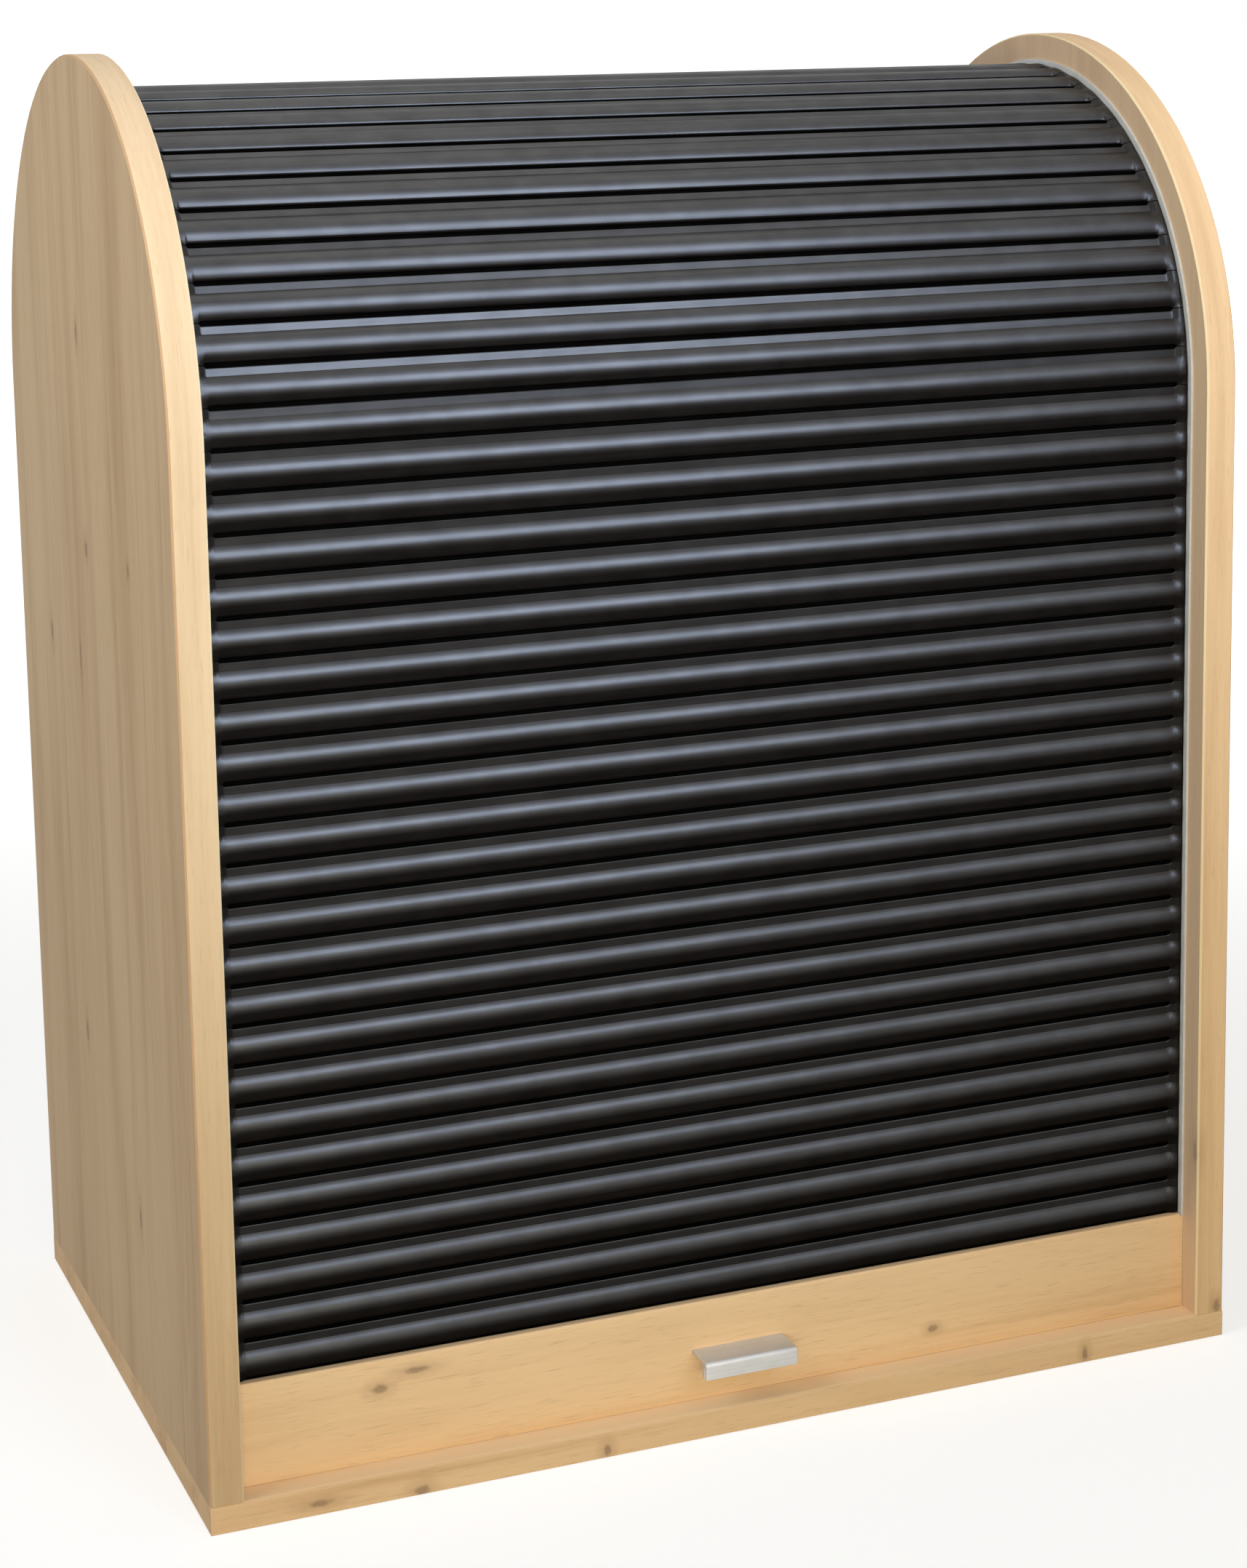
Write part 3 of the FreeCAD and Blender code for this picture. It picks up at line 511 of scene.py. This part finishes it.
# the gap finish is near-black with no reflection: black plastic, with painted shade for the gap between slats
gapShadeBlack = skinMaterial("gapShadeBlack", shutterLook["gapLow"], shutterLook["gapHigh"], 0.85, 0.97, 0.03,
                          Specular_IOR_Level=0.0)
trackGrey = skinMaterial("trackGrey", (0.62, 0.62, 0.6, 1), (0.7, 0.7, 0.68, 1), 0.38, 0.5, 0.05,
                         Specular_IOR_Level=0.5)
pullMetal = skinMaterial("pullAluminium", (0.62, 0.61, 0.59, 1), (0.7, 0.69, 0.67, 1), 0.42, 0.55, 0.08, Metallic=0.4)
screwSteel = skinMaterial("screwSteel", (0.5, 0.5, 0.5, 1), (0.62, 0.62, 0.62, 1), 0.25, 0.4, 0.1, Metallic=1.0)
for finish, names in ((oakLeft, ["side_panel_left"]), (oakRight, ["side_panel_right"]), (oakBase, ["base_panel"]),
                      (oakShelf, ["shelf", "rear_top_rail"]), (backBoard, ["inner_back_panel", "back_panel"]),
                      (trackGrey, ["guide_track_left", "guide_track_right"]),
                      (screwSteel, ["pull_screws", "shelf_pins"]), (dowelWood, ["base_dowels"])):
    for name in names:
        paint(name, finish)
print("finishes made:", len(bpy.data.materials))

slatShape = {  # mm; along = up the shutter's line, out = away from the cabinet
    "count": 46, "single": 24, "pitch": 21.0, "halfWeb": 9.2, "web": 1.6, "end": 280.4, "rows": 44,
    "ribMiddle": -2.2, "ribHalf": 7.2, "ribRise": 2.7, "rimRound": 0.45, "rimDrop": 0.35,
    "wallFoot": 273.8, "wallTop": 278.4, "wallRise": 1.7, "wallBlend": 0.9, "fallFrom": 278.8, "fallSpare": 0.1,
    "closedHalf": 10.4, "closeFrom": 273.4, "closeOver": 1.6,
    "stations": (280.3, 280.15, 279.9, 279.6, 279.2, 278.8, 278.4, 278.0, 277.6, 277.2, 276.8, 276.4, 276.0, 275.6,
                 275.2, 274.8, 274.4, 274.0, 273.4, 271.0),
    "linkHalf": 278.4, "linkAlong": (8.6, 12.4), "linkOut": (-1.7, -0.8), "tongue": 8.6, "tongueLap": 0.2,
    "edgeMiddle": 283.5, "edgeHalf": 3.5, "edgeAlong": (-10.3, 10.3), "edgeOut": (-0.7, 0.7),
}
shutterLine = {"front": 174.0, "rear": 145.0, "axisZ": 551.0, "rearZ": 580.0, "start": 71.0}


def closedShare(x):
    # 0 along the slat, 1 at its ends, which close the gap to the next slat
    return ease((abs(x) - slatShape["closeFrom"]) / slatShape["closeOver"])


def slatHeight(x, along):
    shape = slatShape
    sag = shape["ribRise"]
    radius = (shape["ribHalf"] ** 2 + sag ** 2) / (2 * sag)
    off = min(abs(along - shape["ribMiddle"]), radius)
    high = rib = max(0.0, sqrt(radius ** 2 - off ** 2) - (radius - sag))
    wall = shape["wallRise"] * ease((abs(x) - shape["wallFoot"]) / (shape["wallTop"] - shape["wallFoot"]))
    if wall > 0:  # the end of the groove, blended with the rib
        high = 0.5 * (rib + wall + sqrt((rib - wall) ** 2 + shape["wallBlend"] * min(1.0, wall)))
    past = clamp((abs(x) - shape["fallFrom"]) / (shape["end"] - shape["fallFrom"]))
    high = min(high, (sag + shape["fallSpare"]) * sqrt(1 - past * past))
    eased = max(0.0, abs(along) - shape["halfWeb"] + shape["rimRound"]) / shape["rimRound"]
    return shape["web"] / 2 + high - shape["rimDrop"] * (1 - closedShare(x)) * (1 - sqrt(clamp(1 - eased * eased)))


def cutAt(bm, place, direction):
    bmesh.ops.bisect_plane(bm, geom=bm.verts[:] + bm.edges[:] + bm.faces[:], plane_co=place, plane_no=direction)


def slatMesh():
    shape = slatShape
    bm = bmesh.new()
    bmesh.ops.create_grid(bm, x_segments=1, y_segments=shape["rows"], size=1.0)
    bmesh.ops.scale(bm, vec=(shape["end"], shape["halfWeb"], 1), verts=bm.verts)
    for x in shape["stations"]:
        for side in (-1, 1):
            cutAt(bm, (side * x, 0, 0), (1, 0, 0))
    cutAt(bm, (0, shape["ribMiddle"] + shape["ribHalf"], 0), (0, 1, 0))  # a crisp foot where the rib rises from the web
    rim = [edge for edge in bm.edges if edge.is_boundary]
    for vert in bm.verts:
        vert.co.z = slatHeight(vert.co.x, vert.co.y)
        vert.co.y *= 1 + closedShare(vert.co.x) * (shape["closedHalf"] / shape["halfWeb"] - 1)
    for item in bmesh.ops.extrude_edge_only(bm, edges=rim)["geom"]:
        if isinstance(item, bmesh.types.BMVert):
            item.co.z = -shape["web"] / 2
        elif isinstance(item, bmesh.types.BMFace):
            item.material_index = 1  # the walls of the gap get the near-black gap finish, which is partly painted shade
    bmesh.ops.holes_fill(bm, edges=[edge for edge in bm.edges if edge.is_boundary], sides=0)
    return bm


def addStrip(bm, halfLong, along, out, middle=0.0):
    made = bmesh.ops.create_cube(bm, size=1.0)["verts"]
    bmesh.ops.scale(bm, vec=(halfLong * 2, along[1] - along[0], out[1] - out[0]), verts=made)
    bmesh.ops.translate(bm, vec=(middle, sum(along) / 2, sum(out) / 2), verts=made)
    for face in {face for vert in made for face in vert.link_faces}:
        # the strips take the near-black gap finish, partly painted shade
        face.material_index = 1


def slatPlace(number):
    line = shutterLine
    run = line["start"] - line["axisZ"] + slatShape["pitch"] * (number - 0.5)
    quarter = line["front"] * pi / 2
    if run <= 0:
        angle, y, z = 0.0, -line["front"], line["axisZ"] + run
    elif run <= quarter:
        angle = run / line["front"]
        y, z = -line["front"] * cos(angle), line["axisZ"] + line["front"] * sin(angle)
    else:
        angle = min(pi, pi / 2 + (run - quarter) / line["rear"])
        past = max(0.0, run - quarter - line["rear"] * pi / 2)
        y, z = -line["rear"] * cos(angle), line["rearZ"] + line["rear"] * sin(angle) - past
    return Matrix.Scale(mm, 4) @ Matrix.Translation((0, y, z)) @ Matrix.Rotation(pi / 2 - angle, 4, "X")


def addSlat(bm, number):
    shape = slatShape
    one = slatMesh()
    for side in (-1, 1):  # the flexible edges that run in the tracks
        addStrip(one, shape["edgeHalf"], shape["edgeAlong"], shape["edgeOut"], side * shape["edgeMiddle"])
    if number < shape["count"]:
        addStrip(one, shape["linkHalf"], shape["linkAlong"], shape["linkOut"])
    if number == 1:  # the foot that is let into the rail
        foot = (-shape["halfWeb"] - shape["tongue"], shape["tongueLap"] - shape["halfWeb"])
        addStrip(one, shape["end"], foot, (-shape["web"] / 2, shape["web"] / 2))
    bmesh.ops.recalc_face_normals(one, faces=one.faces)
    bmesh.ops.transform(one, matrix=slatPlace(number), verts=one.verts)
    holder = bpy.data.meshes.new("slatHolder")
    one.to_mesh(holder)
    one.free()
    bm.from_mesh(holder)
    bpy.data.meshes.remove(holder)


for number in range(1, slatShape["single"] + 1):
    bm = bmesh.new()
    addSlat(bm, number)
    body = "door_rail" if number == 1 else "slat_%02d" % number
    stands = ["shutter_slat_%02d" % number] + (["shutter_edge_left", "shutter_edge_right"] if number == 1 else [])
    meshPiece("slat%02d" % number, bm, (shutterBlack, gapShadeBlack), body, stands)
for number in range(slatShape["single"] + 1, slatShape["count"], 2):
    bm = bmesh.new()
    addSlat(bm, number)
    addSlat(bm, number + 1)
    pair = "%02d_%02d" % (number, number + 1)
    meshPiece("slats%02dAnd%02d" % (number, number + 1), bm, (shutterBlack, gapShadeBlack), "pair_" + pair,
              ["shutter_pair_" + pair])
print("slats made:", slatShape["count"])

barRules = {"near": 0.01, "corner": 0.6}  # mm that still counts as the same place; least corner angle that is rounded


def profileBar(outline, halfLong):
    # outline of (y, z) points in mm, drawn out along X
    bm = bmesh.new()
    face = bm.faces.new([bm.verts.new((-halfLong, y, z)) for y, z in outline])
    moved = bmesh.ops.extrude_face_region(bm, geom=[face])["geom"]
    bmesh.ops.translate(bm, vec=(halfLong * 2, 0, 0), verts=[v for v in moved if isinstance(v, bmesh.types.BMVert)])
    bmesh.ops.recalc_face_normals(bm, faces=bm.faces)
    return bm


def roundOff(bm, edges, radius, segments):
    bmesh.ops.bevel(bm, geom=edges, offset=radius, offset_type="OFFSET", affect="EDGES", segments=segments,
                    profile=0.5, material=-1)


def roundAlong(bm, y, z, radius, segments):
    # rounds the long edge that runs at (y, z)
    near = barRules["near"]
    roundOff(bm, [e for e in bm.edges if all(abs(v.co.y - y) < near and abs(v.co.z - z) < near for v in e.verts)],
             radius, segments)


def roundEnds(bm, halfLong, radius, segments):
    rim = [e for e in bm.edges if all(abs(abs(v.co.x) - halfLong) < barRules["near"] for v in e.verts)
           and e.verts[0].co.x * e.verts[1].co.x > 0 and e.calc_face_angle(0) > barRules["corner"]]
    roundOff(bm, rim, radius, segments)


def addBlock(bm, size, middle):
    made = bmesh.ops.create_cube(bm, size=1.0)["verts"]
    bmesh.ops.scale(bm, vec=size, verts=made)
    bmesh.ops.translate(bm, vec=middle, verts=made)


railShape = {
    "half": 280.4, "front": -179.8, "back": -167.8, "low": 15.06, "top": 71.0,
    "slot": (-175.0, -173.0), "slotLow": 63.0,
    "topRound": 1.2, "topSteps": 4, "lowRound": 0.4, "lowSteps": 3, "endRound": 0.5, "endSteps": 2,
    "tongueFrom": 279.4, "tongueEnd": 287.0, "tongue": (-175.5, -172.5), "tongueTop": 62.4,
    "lapFrom": 240.0, "lapEnd": 281.7, "lapFront": -180.08, "lapBack": -179.86,
    "lapRoot": -179.78, "lapRootBack": -179.66,
}
rail = railShape
slotRear, slotFront = rail["slot"][1], rail["slot"][0]
bm = profileBar([(rail["front"], rail["low"]), (rail["back"], rail["low"]), (rail["back"], rail["top"]),
                 (slotRear, rail["top"]), (slotRear, rail["slotLow"]), (slotFront, rail["slotLow"]),
                 (slotFront, rail["top"]), (rail["front"], rail["top"])], rail["half"])
roundEnds(bm, rail["half"], rail["endRound"], rail["endSteps"])
roundAlong(bm, rail["front"], rail["top"], rail["topRound"], rail["topSteps"])
roundAlong(bm, rail["front"], rail["low"], rail["lowRound"], rail["lowSteps"])
for side in (-1, 1):  # the tongues that run in the tracks
    size = (rail["tongueEnd"] - rail["tongueFrom"], rail["tongue"][1] - rail["tongue"][0],
            rail["tongueTop"] - rail["low"])
    middle = (side * (rail["tongueEnd"] + rail["tongueFrom"]) / 2, sum(rail["tongue"]) / 2,
              (rail["tongueTop"] + rail["low"]) / 2)
    addBlock(bm, size, middle)
for side in (-1, 1):  # the facing laps over the track's lip at both ends
    for vert in bmesh.ops.create_cube(bm, size=1.0)["verts"]:
        isEnd, isFront = vert.co.x * side > 0, vert.co.y < 0
        front, back = (rail["lapFront"], rail["lapBack"]) if isEnd else (rail["lapRoot"], rail["lapRootBack"])
        vert.co.y = front if isFront else back
        vert.co.x = side * (rail["lapEnd"] if isEnd else rail["lapFrom"])
        vert.co.z = rail["top"] - rail["topRound"] if vert.co.z > 0 else rail["low"] + rail["lowRound"]
bmesh.ops.scale(bm, vec=(mm, mm, mm), verts=bm.verts)
meshPiece("shutterRail", bm, (oakRail,), "door_rail", ["door_rail"], sharp=10)

pullShape = {
    "half": 27.0, "wall": -179.8, "nose": -199.8, "top": 44.3, "gauge": 2.0, "lipLow": 34.3,
    "noseRound": 2.4, "noseSteps": 8, "innerRound": 0.9, "lipRound": 0.8, "steps": 4, "endRound": 0.6, "endSteps": 3,
    "tabHalf": 21.0, "tabLow": 27.3, "tabTop": 42.7,
}
pull = pullShape
gauge = pull["gauge"]
noseBack, plateLow = pull["nose"] + gauge, pull["top"] - gauge
bm = profileBar([(pull["wall"], pull["top"]), (pull["nose"], pull["top"]), (pull["nose"], pull["lipLow"]),
                 (noseBack, pull["lipLow"]), (noseBack, plateLow), (pull["wall"], plateLow)], pull["half"])
roundAlong(bm, pull["nose"], pull["top"], pull["noseRound"], pull["noseSteps"])
roundAlong(bm, noseBack, plateLow, pull["innerRound"], pull["steps"])
roundAlong(bm, pull["nose"], pull["lipLow"], pull["lipRound"], pull["steps"])
roundAlong(bm, noseBack, pull["lipLow"], pull["lipRound"], pull["steps"])
roundEnds(bm, pull["half"], pull["endRound"], pull["endSteps"])
addBlock(bm, (pull["tabHalf"] * 2, gauge, pull["tabTop"] - pull["tabLow"]),  # the tab that is screwed to the rail
         (0, pull["wall"] - gauge / 2, (pull["tabTop"] + pull["tabLow"]) / 2))
bmesh.ops.scale(bm, vec=(mm, mm, mm), verts=bm.verts)
meshPiece("shutterPull", bm, (pullMetal,), "door_rail", ["pull_handle"])
print("rail and pull made")
